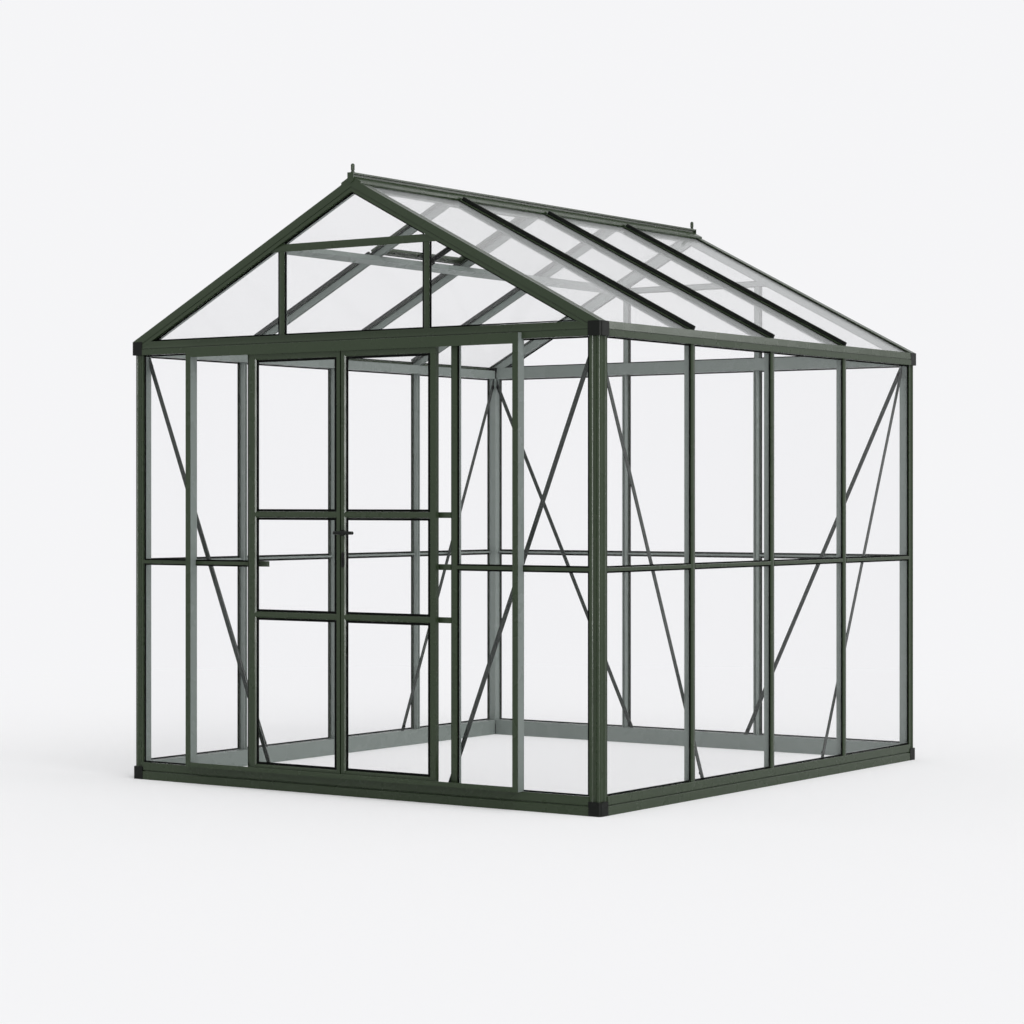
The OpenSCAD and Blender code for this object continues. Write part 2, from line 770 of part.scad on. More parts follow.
// The jambs, with short arms that reach behind the leaves at the heights of their rails
module door_jambs() {
    color(frame_green) on_tracks() for (side = [0, 1]) mirror([side, 0, 0]) {
        wall_bar(jamb_spacing / 2, sill_floor + track_wall + fit, eave_bottom - fit);
        for (z = [low_cross_z, rail_z, high_cross_z])
            translate([jamb_spacing / 2 - arm_reach, bar_inset, z - rail_cap / 2])
                cube([arm_reach - bar_cap / 2 - fit, cap_thick, rail_cap]);
    }
}

module mid_rails() {
    color(frame_green) {
        on_left() wall_rails(base_depth, side_bars, [0 : side_bays - 1]);
        on_right() wall_rails(base_depth, side_bars, [0 : side_bays - 1]);
        on_back() wall_rails(base_width, gable_bars, [0 : 2]);
        on_front() wall_rails(base_width, jambs, [0, 2]);
    }
}

module wall_braces() {
    color(frame_green) {
        on_left() brace_pair(base_depth, side_brace_run - half_d);
        on_right() brace_pair(base_depth, side_brace_run - half_d);
        on_back() brace_pair(base_width, -back_brace_foot);
        on_front() brace_pair(base_width, front_brace_run - half_w);
    }
}

module front_rafters() {
    color(frame_green) difference() {
        on_front() rafter_pair();
        rafter_cuts();
    }
}

module back_rafters() {
    color(frame_green) difference() {
        on_back() rafter_pair();
        rafter_cuts();
    }
}

module front_gable_frame() { color(frame_green) on_front() gable_frame(); }
module back_gable_frame() { color(frame_green) on_back() gable_frame(); }

module roof_bars_left() { color(frame_green) on_left_roof() for (x = side_bars) roof_bar(x); }
module roof_bars_right() { color(frame_green) on_right_roof() for (x = side_bars) roof_bar(x); }

// The lip under the lower edge of a ridge wing, down to the panes and notched over the roof bars
module wing_lip() {
    length = base_depth - 2 * (rafter_thick + fit);
    y0 = slope_length - ridge_wing / slope_cos + edge;
    difference() {
        translate([-length / 2, y0, fit - cap_thick])
            cube([length, wing_lip_thick, cap_thick + crest_thick / 2]);
        for (x = side_bars) translate([x - bar_cap / 2 - fit, y0 - fit, -cap_thick])
            cube([bar_cap + 2 * fit, wing_lip_thick + 2 * fit, cap_thick + fit]);
    }
}

// The ridge: a crest bead on a web, a lipped wing down each slope and a plate on each end
module ridge() {
    web = ridge_web / 2;
    bead = crest_width / 2;
    plate_half = bead + edge;
    web_u = rafter_thick + fit;
    function wing_z(x, lift) = -x * slope_tan + lift / slope_cos;
    half = [[ridge_wing, wing_z(ridge_wing, fit)], [ridge_wing, wing_z(ridge_wing, fit + crest_thick)],
        [web, wing_z(web, fit + crest_thick)], [web, crest_height - crest_thick],
        [bead, crest_height - crest_thick], [bead, crest_height - edge], [bead - edge, crest_height]];
    other = [for (i = [len(half) - 1 : -1 : 0]) [-half[i][0], half[i][1]]];
    color(frame_green) {
        translate([0, 0, apex]) on_front() {
            plate(-rafter_proud, base_depth + 2 * rafter_proud)
                polygon(concat([[0, wing_z(0, fit)]], half, other));
            plate(web_u, base_depth - 2 * web_u)
                translate([-web, -ridge_drop]) square([ridge_web, ridge_drop + crest_thick]);
            for (u = [-rafter_proud - fit - end_plate, base_depth + rafter_proud + fit])
                plate(u, end_plate) polygon([[-plate_half, crest_height], [-plate_half, -end_plate_drop / 2],
                    [0, -end_plate_drop], [plate_half, -end_plate_drop / 2], [plate_half, crest_height]]);
        }
        on_right_roof() wing_lip();
        on_left_roof() wing_lip();
    }
}

// A stout pin with a collar, a neck and a domed top on each end of the crest
module ridge_finials() {
    r = finial_diameter / 2;
    color(frame_green) for (y = [r, base_depth - r])
        translate([0, front_y + y, apex + crest_height + fit]) {
            cylinder(r = r, h = finial_collar);
            cylinder(r = r - edge, h = finial_height - r);
            translate([0, 0, 2 * finial_collar]) cylinder(r = r, h = finial_height - r - 2 * finial_collar);
            translate([0, 0, finial_height - r]) sphere(r = r);
        }
}

// The bar that carries the lower edge of the vent, under the roof bars of the left slope
module vent_bar() {
    length = base_depth - 2 * rafter_thick - 2 * fit;
    color(frame_green) on_left_roof()
        translate([-length / 2, vent_bar_y - vent_bar_width / 2, -bar_depth - fit - vent_bar_thick])
            cube([length, vent_bar_width, vent_bar_thick]);
}

module roof_vent_frame() {
    color(frame_green) on_left_roof() translate([0, 0, fit]) {
        for (x = [vent_x0, vent_x1 - vent_member])
            translate([x, vent_y0, 0]) cube([vent_member, vent_y1 - vent_y0, vent_thick]);
        for (y = [vent_y0, vent_y1 - vent_member])
            translate([vent_x0 + vent_member + fit, y, 0])
                cube([vent_x1 - vent_x0 - 2 * (vent_member + fit), vent_member, vent_thick]);
    }
}

module roof_vent_glass() {
    x0 = vent_x0 + vent_member + fit;
    y0 = vent_y0 + vent_member + fit;
    color(glass_tint) on_left_roof() translate([x0, y0, fit + (vent_thick - glass) / 2])
        cube([vent_x1 - vent_member - fit - x0, vent_y1 - vent_member - fit - y0, glass]);
}

// The vent opener: a bracket on the vent bar, a cylinder with a knob, and two arms that reach
// over the bar to the lower rail of the vent
module vent_opener() {
    half = opener_diameter / 2 + fit;
    low = -bar_depth - fit - vent_bar_thick;
    foot_y = -vent_bar_width / 2;
    color(plastic_black) on_left_roof()
        translate([vent_mid, vent_bar_y + vent_bar_width / 2 + fit, 0]) {
            translate([-half - opener_arm, 0, low])
                cube([2 * (half + opener_arm), opener_arm, vent_bar_thick]);
            for (x = [-half - opener_arm, half]) {
                translate([x, 0, low]) cube([opener_arm, opener_bracket, vent_bar_thick]);
                translate([x, opener_bracket / 2, low]) cube([opener_arm, opener_bracket / 2, -low]);
                translate([x, foot_y, -opener_arm]) cube([opener_arm, opener_bracket - foot_y, opener_arm]);
            }
            translate([0, opener_arm / 2, low + vent_bar_thick / 2]) rotate([-90, 0, 0]) {
                cylinder(d = opener_diameter, h = opener_length);
                translate([0, 0, opener_length]) cylinder(d = opener_knob, h = opener_bracket / 2);
            }
        }
}

module left_wall_glass() {
    color(glass_tint) on_left() wall_panes(base_depth, side_bars, [0 : side_bays - 1]);
}

module right_wall_glass() {
    color(glass_tint) on_right() wall_panes(base_depth, side_bars, [0 : side_bays - 1]);
}

module back_wall_glass() { color(glass_tint) on_back() wall_panes(base_width, gable_bars, [0 : 2]); }
module front_wall_glass() { color(glass_tint) on_front() wall_panes(base_width, jambs, [0, 2]); }

module gable_glass() {
    color(glass_tint) {
        on_front() gable_panes();
        on_back() gable_panes();
    }
}

module roof_glass_left() {
    color(glass_tint) on_left_roof() for (i = [0 : side_bays - 1])
        roof_pane(i, roof_foot, i == vent_index ? vent_bar_y : pane_top_end);
}

module roof_glass_right() {
    color(glass_tint) on_right_roof() for (i = [0 : side_bays - 1]) roof_pane(i, roof_foot, pane_top_end);
}

// The head track: a hood with a runner lip for the door rollers inside it
module door_head_track() {
    color(frame_green) on_tracks() run_along(-post_inner + fit, post_inner - fit)
        polygon([[track_front, head_bottom], [track_front + track_wall, head_bottom],
            [track_front + track_wall, head_top - track_wall], [lip_back, head_top - track_wall],
            [lip_back, lip_top], [lip_front, lip_top], [lip_front, lip_bottom], [track_back, lip_bottom],
            [track_back, head_top], [track_front + edge, head_top], [track_front, head_top - edge]]);
}

// The sill track: a shelf on the front base beam with an upstand outside the leaves
module door_sill_track() {
    color(frame_green) on_tracks() run_along(-post_inner + fit, post_inner - fit)
        polygon([[track_front, sill_floor], [sill_back, sill_floor], [sill_back, sill_floor + track_wall],
            [track_front + track_wall, sill_floor + track_wall], [track_front + track_wall, sill_top],
            [track_front + edge, sill_top], [track_front, sill_top - edge]]);
}

// The posts at the track ends, notched over the mid rails
module track_end_posts() {
    color(frame_green) on_tracks() for (side = [-1, 1])
        translate([side * track_width / 2 - track_post / 2, 0, 0]) difference() {
            translate([0, track_front, sill_floor]) {
                cube([track_post, sill_back - track_front, eave_bottom - fit - sill_floor]);
                cube([track_post, track_back - track_front, head_top - sill_floor]);
            }
            translate([-fit, bar_inset - fit, rail_z - rail_cap / 2 - fit])
                cube([track_post + 2 * fit, sill_back, rail_cap + 2 * fit]);
        }
}

module left_door_frame() { color(frame_green) on_doors() mirror([1, 0, 0]) leaf_frame(); }
module left_door_glass() { color(glass_tint) on_doors() mirror([1, 0, 0]) leaf_glass(); }
module left_door_rollers() { color(plastic_black) on_doors() mirror([1, 0, 0]) leaf_rollers(); }
module right_door_frame() { color(frame_green) on_doors() leaf_frame(); }
module right_door_glass() { color(glass_tint) on_doors() leaf_glass(); }
module right_door_rollers() { color(plastic_black) on_doors() leaf_rollers(); }

// A plate with round ends and a keyhole, lying in the plane z = 0
module keyhole_plate() {
    straight = keyplate_height - keyplate_width;
    difference() {
        linear_extrude(rose_thick / 2) {
            square([keyplate_width, straight], center = true);
            for (side = [-1, 1]) translate([0, side * straight / 2]) circle(d = keyplate_width);
        }
        translate([0, 0, -fit]) {
            cylinder(d = keyhole_diameter, h = rose_thick);
            translate([-keyhole_diameter / 4, -keyplate_width, 0])
                cube([keyhole_diameter / 2, keyplate_width, rose_thick]);
        }
    }
}

// The lever along z: a turned bar with a chamfer at each end
module lever() {
    r = lever_bar / 2;
    rotate_extrude() polygon([[0, 0], [r - edge, 0], [r, edge], [r, lever_length - edge],
        [r - edge, lever_length], [0, lever_length]]);
}

// The lever on its rose, and the keyhole plate below it, on the right leaf
module door_handle() {
    x = meeting_gap / 2 + meeting_stile / 2;
    color(plastic_black) on_doors() {
        translate([x, leaf_front - fit, lever_z]) rotate([90, 0, 0]) {
            cylinder(d = rose_diameter, h = rose_thick);
            cylinder(d = lever_stem, h = lever_reach - fit);
        }
        translate([x - lever_tail, lever_u, lever_z]) rotate([0, 90, 0]) lever();
        translate([x, leaf_front - fit, keyhole_z]) rotate([90, 0, 0]) keyhole_plate();
    }
}

base_front();
base_back();
base_left();
base_right();
base_corner_shoes();
corner_posts();
eave_front();
eave_back();
gutter_left();
gutter_right();
eave_corner_caps();
left_wall_bars();
right_wall_bars();
back_wall_bars();
door_jambs();
mid_rails();
wall_braces();
front_rafters();
back_rafters();
front_gable_frame();
back_gable_frame();
roof_bars_left();
roof_bars_right();
ridge();
ridge_finials();
vent_bar();
roof_vent_frame();
roof_vent_glass();
vent_opener();
left_wall_glass();
right_wall_glass();
back_wall_glass();
front_wall_glass();
gable_glass();
roof_glass_left();
roof_glass_right();
door_head_track();
door_sill_track();
track_end_posts();
left_door_frame();
left_door_glass();
left_door_rollers();
right_door_frame();
right_door_glass();
right_door_rollers();
door_handle();
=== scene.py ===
"""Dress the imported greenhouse: finishes, seals, slim rails, cappings, bolts and a studio stage."""
import json
import math

import bpy
from bpy.props import FloatProperty, FloatVectorProperty, PointerProperty
from bpy.types import Operator, Panel, PropertyGroup
from mathutils import Matrix, Vector


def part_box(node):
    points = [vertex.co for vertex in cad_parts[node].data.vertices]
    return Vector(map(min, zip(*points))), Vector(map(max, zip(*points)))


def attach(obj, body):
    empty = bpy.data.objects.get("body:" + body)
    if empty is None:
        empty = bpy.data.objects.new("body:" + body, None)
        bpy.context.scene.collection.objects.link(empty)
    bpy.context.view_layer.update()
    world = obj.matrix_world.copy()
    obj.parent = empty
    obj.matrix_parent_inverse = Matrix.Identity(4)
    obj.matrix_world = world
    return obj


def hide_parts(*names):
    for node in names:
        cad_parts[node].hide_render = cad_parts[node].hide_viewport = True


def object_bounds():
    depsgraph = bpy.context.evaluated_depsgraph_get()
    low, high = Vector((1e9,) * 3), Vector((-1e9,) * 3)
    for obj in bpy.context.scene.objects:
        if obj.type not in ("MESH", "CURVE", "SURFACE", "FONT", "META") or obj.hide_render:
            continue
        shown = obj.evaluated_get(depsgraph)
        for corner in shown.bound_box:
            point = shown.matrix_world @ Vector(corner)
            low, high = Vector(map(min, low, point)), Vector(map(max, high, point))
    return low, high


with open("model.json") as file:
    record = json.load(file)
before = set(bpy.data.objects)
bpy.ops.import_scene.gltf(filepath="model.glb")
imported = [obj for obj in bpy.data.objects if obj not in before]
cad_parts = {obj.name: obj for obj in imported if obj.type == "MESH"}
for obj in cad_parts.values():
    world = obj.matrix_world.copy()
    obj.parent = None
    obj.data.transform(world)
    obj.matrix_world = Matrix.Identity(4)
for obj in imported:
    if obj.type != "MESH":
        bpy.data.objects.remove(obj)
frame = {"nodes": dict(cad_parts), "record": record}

bl_info = {
    "name": "Greenhouse dressing",
    "version": (1, 0, 0),
    "blender": (4, 5, 0),
    "location": "View3D > Sidebar > Greenhouse",
    "description": "Finishes, seals, fasteners and stage for a glazed greenhouse",
    "category": "Object",
}

CAD_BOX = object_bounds()
NODES = frame["nodes"]
FLOOR_Z = CAD_BOX[0][2]
FRONT_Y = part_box("base_front")[0][1]
EAVE_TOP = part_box("eave_front")[1][2]
MIDDLE = [(CAD_BOX[0][axis] + CAD_BOX[1][axis]) / 2 for axis in range(3)]

# Walls by the axis across them, 0 for x and 1 for y, and their side; the turn of a plane on each
QUARTER = math.pi / 2
WALLS = {"front_wall_glass": (1, -1), "back_wall_glass": (1, 1),
         "left_wall_glass": (0, -1), "right_wall_glass": (0, 1)}
WALL_TURNS = {(1, -1): (QUARTER, 0, 0), (1, 1): (-QUARTER, 0, 0),
              (0, -1): (0, -QUARTER, 0), (0, 1): (0, QUARTER, 0)}
ONE_PLANE = 1e-4

# Fixed values of the finishes: noise scales per metre, lengths in metres
INNER_SHEEN_START = 0.001  # past the panes, where the paler inner tone, painted sheen and light, starts
INNER_SHEEN_FULL = -0.003  # within the panes, where the painted sheen is full
POST_FACE = 0.002  # depth of the green front of a track end post; behind it the sides and back take the pale inner tone, painted light where the sides catch the light from the right
GRAIN_DETAIL = 2.0
GRAIN_DEPTH = 0.0003
COAT_PATCHES = 3.0
COAT_WEAR = 9.0
COAT_WEAR_BELOW = 0.05
COAT_WEAR_ABOVE = 0.06
COAT_PEEL = 420.0
COAT_PEEL_STRENGTH = 0.08
COAT_GLOSS = 0.24
DARK_GRAIN_STRENGTH = 0.35
GLASS_VEIL = (0.60, 0.60, 0.61)
GLASS_VEIL_DEEP = (0.56, 0.57, 0.57)
GLASS_PATCHES = 1.5
GLASS_WEAR = 6.0
GLASS_SMOOTHEST = 0.06
GLASS_ROUGHEST = 0.12
GLASS_WAVES = 4.0
GLASS_WAVE_DETAIL = 1.0
GLASS_WAVE_DEPTH = 0.001
GLASS_WAVE_STRENGTH = 0.04
GLASS_FACING_BLEND = 0.5
GLASS_FACING_POWER = 6.0

# Dark finishes: colour, lift of the pale patches, patches per metre, lowest and highest roughness,
# grains per metre and specular level
DARK_FINISHES = {
    "corner_plastic_black": ("plastic", 1.8, 25.0, 0.36, 0.50, 900.0, 0.12),
    "fittings_black_metal": ("plastic", 2.0, 30.0, 0.28, 0.42, 500.0, 0.15),
    "seal_rubber_black": ("rubber", 2.0, 40.0, 0.55, 0.75, 700.0, 0.03),
    # Black of the roof bar cappings: painted shade, standing in for the shade on the front sides of
    # the roof bars
    "capping_rubber_black": ("plastic", 2.0, 30.0, 0.40, 0.55, 600.0, 0.08),
    "brush_fibre_black": ("rubber", 3.0, 90.0, 0.8, 0.95, 1500.0, 0.03),
}

# Fixed sizes of the pieces: lengths in metres, ratios to the size beside them
LOWER_PANE_BELOW = 0.5  # the foot of a lower wall pane is less than this over the floor
TOP_PANE_ABOVE = 0.45  # the head of the top gable pane is more than this over the eave
BRUSH_END_GAP = 0.01
BRUSH_DEPTH_RATIO = 0.5
BRUSH_EDGE = 0.0008
RAIL_STEM_RATIO = 0.55
RAIL_EDGE = 0.0012
BAR_TOP_DEPTH = 0.004  # the top of a roof bar, down from its highest line
CAPPING_SEAT = 0.0015
CAPPING_TOP_RATIO = 0.72
CAPPING_EDGE = 0.0025
HEAD_SIDES = 6
HEAD_INSET_RATIO = 0.18
HEAD_RISE_RATIO = 0.15
FACES_UP = 0.9
WASHER_SIDES = 14
WASHER_RATIO = 1.5
WASHER_THICK = 0.001
WASHER_EDGE = 0.0003
BOLT_INSET = 0.022

# Fixed values of the stage
FLOOR_TONES = ((0.92, 0.92, 0.93), (0.93, 0.93, 0.94))
FLOOR_PATCHES = 0.2
FLOOR_ROUGHNESS = 0.9
FADE_NEAR, FADE_FAR = 0.15, 1.0
FADE_FROM, FADE_TO = 2.0, 7.0
KEY_SPREAD = math.radians(50)
KEY_TURN = (math.radians(10), math.radians(42), 0)
STRIP_SIZE = (0.7, 5.0)
STRIP_PLACE = (5.1, FRONT_Y - 4.45, 2.2)
STRIP_TURN = (QUARTER, 0, math.radians(41.7))
RIM_SIZE = (3.0, 1.6)
RIM_PLACE = (5.0, 6.7, 4.2)
RIM_TURN = (math.radians(72), 0, math.radians(150))
FILM_WIDTH = 36.0
VIEW_REACH = 3000.0


# Property groups

class GreenhouseFinishes(PropertyGroup):
    """Colours and surface values of the finishes."""

    green: FloatVectorProperty(
        name="Powder coat", description="Colour of the coated frame", subtype="COLOR",
        size=3, min=0, max=1, default=(0.025, 0.040, 0.019))
    green_pale: FloatVectorProperty(
        name="Powder coat, pale patches", description="Paler tone in the coated frame",
        subtype="COLOR", size=3, min=0, max=1, default=(0.033, 0.050, 0.025))
    # The inner tone is painted sheen and light: the coat is one colour, drawn paler on the faces
    # behind the glass
    inner: FloatVectorProperty(
        name="Inner coat", description="Paler coat of the frame on the inside of the panes",
        subtype="COLOR", size=3, min=0, max=1, default=(0.205, 0.235, 0.22))
    brace: FloatVectorProperty(
        name="Brace coat", description="Coat of the flat braces behind the panes", subtype="COLOR",
        size=3, min=0, max=1, default=(0.032, 0.038, 0.034))
    rubber: FloatVectorProperty(
        name="Rubber", description="Colour of the glazing seals", subtype="COLOR",
        size=3, min=0, max=1, default=(0.0022, 0.0025, 0.0022))
    plastic: FloatVectorProperty(
        name="Plastic", description="Colour of the moulded corner pieces", subtype="COLOR",
        size=3, min=0, max=1, default=(0.004, 0.005, 0.004))
    glass: FloatVectorProperty(
        name="Glass", description="Tint of the light that the panes let through", subtype="COLOR",
        size=3, min=0, max=1, default=(0.997, 0.997, 0.998))
    haze: FloatProperty(
        name="Haze", description="Pale veil on a pane that is seen square on", subtype="FACTOR",
        min=0, max=1, default=0.012)
    haze_edge: FloatProperty(
        name="Haze at a low angle", description="Pale veil on a pane that is seen edge on",
        subtype="FACTOR", min=0, max=1, default=1.0)
    coat_roughness: FloatProperty(
        name="Coat roughness", description="Mean roughness of the coated frame", subtype="FACTOR",
        min=0, max=1, default=0.27)


class GreenhouseTrim(PropertyGroup):
    """Sizes of the seals, bolts, mid rails and cappings."""

    seal_width: FloatProperty(
        name="Seal width", description="Width of the glazing seals that shows beside a bar",
        unit="LENGTH", default=0.006)
    door_seal_width: FloatProperty(
        name="Door seal width", description="Width of the seals around the door panes",
        unit="LENGTH", default=0.009)
    roof_seal_width: FloatProperty(
        name="Roof seal width", description="Width of the seals beside the roof bars",
        unit="LENGTH", default=0.002)
    seal_thick: FloatProperty(
        name="Seal thickness", description="Thickness of the seals on the glass",
        unit="LENGTH", default=0.003)
    bar_cover: FloatProperty(
        name="Bar cover", description="Cover of a glazing bar over the edge of a pane",
        unit="LENGTH", default=0.0093)
    rail_cover: FloatProperty(
        name="Rail cover", description="Cover of a rail over the edge of a pane",
        unit="LENGTH", default=0.0018)
    leaf_cover: FloatProperty(
        name="Door cover", description="Cover of a door frame over the edge of its panes",
        unit="LENGTH", default=0.0052)
    seat: FloatProperty(
        name="Seat", description="Gap between a seal and the metal beside it",
        unit="LENGTH", default=0.0004)
    bolt_radius: FloatProperty(
        name="Bolt head", description="Radius of the hexagon bolt heads",
        unit="LENGTH", default=0.0065)
    bolt_height: FloatProperty(
        name="Bolt height", description="Height of the hexagon bolt heads",
        unit="LENGTH", default=0.004)
    brush: FloatProperty(
        name="Brush strip", description="Width of the brush between the doors",
        unit="LENGTH", default=0.005)
    rail_height: FloatProperty(
        name="Mid rail height", description="Height of the cap of the rails half-way up the walls",
        unit="LENGTH", default=0.014)
    rail_cap: FloatProperty(
        name="Mid rail cap", description="Thickness of the cap of the mid rails",
        unit="LENGTH", default=0.005)
    capping_width: FloatProperty(
        name="Capping width", description="Width of the strips on the roof bars",
        unit="LENGTH", default=0.018)
    capping_height: FloatProperty(
        name="Capping height", description="Height of the strips on the roof bars",
        unit="LENGTH", default=0.016)
    capping_stop: FloatProperty(
        name="Capping stop", description="Gap between a strip on a roof bar and the ridge or vent",
        unit="LENGTH", default=0.003)


class GreenhouseStage(PropertyGroup):
    """Camera, light and floor."""

    camera_x: FloatProperty(
        name="Camera, right", description="Place of the camera to the right of the middle",
        unit="LENGTH", default=6.23)
    camera_y: FloatProperty(
        name="Camera, front", description="Distance of the camera in front of the base",
        unit="LENGTH", default=7.847)
    camera_z: FloatProperty(
        name="Camera height", description="Height of the camera", unit="LENGTH", default=1.14)
    camera_turn: FloatProperty(
        name="Camera turn", description="Turn of the level camera about the upright axis",
        subtype="ANGLE", default=math.radians(34.9))
    lens: FloatProperty(
        name="Lens", description="Focal length on a 36 mm wide film", unit="CAMERA", default=91.0)
    rise: FloatProperty(
        name="Lens rise", description="Vertical shift of the frame, as a share of its width",
        default=-0.0102)
    floor_size: FloatProperty(
        name="Floor", description="Side of the square floor", unit="LENGTH", default=1200.0)
    backdrop: FloatVectorProperty(
        name="Backdrop", description="Colour that the camera sees around the house",
        subtype="COLOR", size=3, min=0, max=1, default=(0.915, 0.915, 0.93))
    sky: FloatProperty(
        name="Sky light", description="Strength of the even light from all round", default=0.66)
    sun: FloatProperty(
        name="Key light", description="Strength of the soft key light", default=1.4)
    strip: FloatProperty(
        name="Strip light", description="Power of the tall soft strip on the right", unit="POWER",
        default=450.0)
    rim: FloatProperty(
        name="Rim light", description="Power of the soft box behind the right-hand wall",
        unit="POWER", default=110.0)


# Materials

def new_finish(name):
    """An empty node material with its Principled shader and Object coordinates."""
    material = bpy.data.materials.new(name)
    material.use_nodes = True
    tree = material.node_tree
    shader = tree.nodes["Principled BSDF"]
    place = tree.nodes.new("ShaderNodeTexCoord")
    return material, tree, shader, place.outputs["Object"]


def noise(tree, place, scale, detail=3.0):
    """A noise value over Object coordinates, with a scale per metre."""
    node = tree.nodes.new("ShaderNodeTexNoise")
    node.inputs["Scale"].default_value = scale
    node.inputs["Detail"].default_value = detail
    tree.links.new(place, node.inputs["Vector"])
    return node.outputs["Fac"]


def mix_colours(tree, factor, first, second, target):
    """Link a mix of two colours, by a factor socket, to a target socket."""
    node = tree.nodes.new("ShaderNodeMix")
    node.data_type = "RGBA"
    node.inputs["A"].default_value = (*first, 1)
    node.inputs["B"].default_value = (*second, 1)
    tree.links.new(factor, node.inputs["Factor"])
    tree.links.new(node.outputs["Result"], target)


def span(tree, value, low, high, target, start=0.3, end=0.7):
    """Link a value, spread over a span, to a target socket."""
    node = tree.nodes.new("ShaderNodeMapRange")
    node.inputs["From Min"].default_value = start
    node.inputs["From Max"].default_value = end
    node.inputs["To Min"].default_value = low
    node.inputs["To Max"].default_value = high
    tree.links.new(value, node.inputs["Value"])
    tree.links.new(node.outputs["Result"], target)


def grain(tree, shader, value, depth, strength):
    """Link a height value to the shader as fine bump."""
    node = tree.nodes.new("ShaderNodeBump")
    node.inputs["Distance"].default_value = depth
    node.inputs["Strength"].default_value = strength
    tree.links.new(value, node.inputs["Height"])
    tree.links.new(node.outputs["Normal"], shader.inputs["Normal"])


def combine(tree, operation, *values):
    """The output of a Math node whose inputs are sockets or plain numbers."""
    node = tree.nodes.new("ShaderNodeMath")
    node.operation = operation
    for slot, value in zip(node.inputs, values):
        if isinstance(value, (int, float)):
            slot.default_value = value
        else:
            tree.links.new(value, slot)
    return node.outputs[0]


def inside_panes(tree, place, reach):
    """A mask of 1 inside the panes and 0 outside, with the walls moved out by a reach."""
    # Where this mask is 1 the frame takes its paler inner tone, painted sheen and light behind the
    # glass
    parts = tree.nodes.new("ShaderNodeSeparateXYZ")
    tree.links.new(place, parts.inputs[0])
    front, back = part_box("front_wall_glass")[0][1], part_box("back_wall_glass")[1][1]
    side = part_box("right_wall_glass")[1][0]
    slope = (math.sin(PITCH), math.cos(PITCH))
    lift = max(slope[0] * point.x + slope[1] * point.z for point in solids("roof_glass_right")[0])
    width = combine(tree, "ABSOLUTE", parts.outputs["X"])
    depth = combine(tree, "SUBTRACT", parts.outputs["Y"], (front + back) / 2)
    depth = combine(tree, "ABSOLUTE", depth)
    height = combine(tree, "MULTIPLY", parts.outputs["Z"], slope[1])
    height = combine(tree, "MULTIPLY_ADD", width, slope[0], height)
    past_walls = combine(tree, "MAXIMUM", combine(tree, "SUBTRACT", width, side + reach),
                         combine(tree, "SUBTRACT", depth, (back - front) / 2 + reach))
    past = combine(tree, "MAXIMUM", past_walls, combine(tree, "SUBTRACT", height, lift))
    mask = tree.nodes.new("ShaderNodeMapRange")
    mask.inputs["From Min"].default_value = INNER_SHEEN_START
    mask.inputs["From Max"].default_value = INNER_SHEEN_FULL
    tree.links.new(past, mask.inputs["Value"])
    return mask.outputs["Result"]


def powder_coat(name, finishes, inner, reach=0.0):
    """Satin green powder coat with a faint orange-peel skin and a second colour inside the panes:
    for the frame, a paler tone that is painted sheen and light behind the glass.
    """
    material, tree, shader, place = new_finish(name)
    # Inside the panes the colour turns to the inner tone: for the frame, painted sheen and light on
    # the faces behind the glass
    tone = tree.nodes.new("ShaderNodeMix")
    tone.data_type = "RGBA"
    tone.inputs["B"].default_value = (*inner, 1)
    tree.links.new(inside_panes(tree, place, reach), tone.inputs["Factor"])
    tree.links.new(tone.outputs["Result"], shader.inputs["Base Color"])
    patches = noise(tree, place, COAT_PATCHES)
    mix_colours(tree, patches, finishes.green, finishes.green_pale, tone.inputs["A"])
    low = finishes.coat_roughness - COAT_WEAR_BELOW
    high = finishes.coat_roughness + COAT_WEAR_ABOVE
    span(tree, noise(tree, place, COAT_WEAR), low, high, shader.inputs["Roughness"])
    peel = noise(tree, place, COAT_PEEL, GRAIN_DETAIL)
    grain(tree, shader, peel, GRAIN_DEPTH, COAT_PEEL_STRENGTH)
    shader.inputs["Specular IOR Level"].default_value = COAT_GLOSS
    return material


def dark_finish(name, colour, lift, patch, low, high, fine, gloss):
    """A black finish with slight patches, uneven roughness and a fine grain."""
    material, tree, shader, place = new_finish(name)
    pale = [lift * part for part in colour]
    mix_colours(tree, noise(tree, place, patch), colour, pale, shader.inputs["Base Color"])
    span(tree, noise(tree, place, 2 * patch), low, high, shader.inputs["Roughness"])
    grain(tree, shader, noise(tree, place, fine, GRAIN_DETAIL), GRAIN_DEPTH, DARK_GRAIN_STRENGTH)
    shader.inputs["Specular IOR Level"].default_value = gloss
    return material


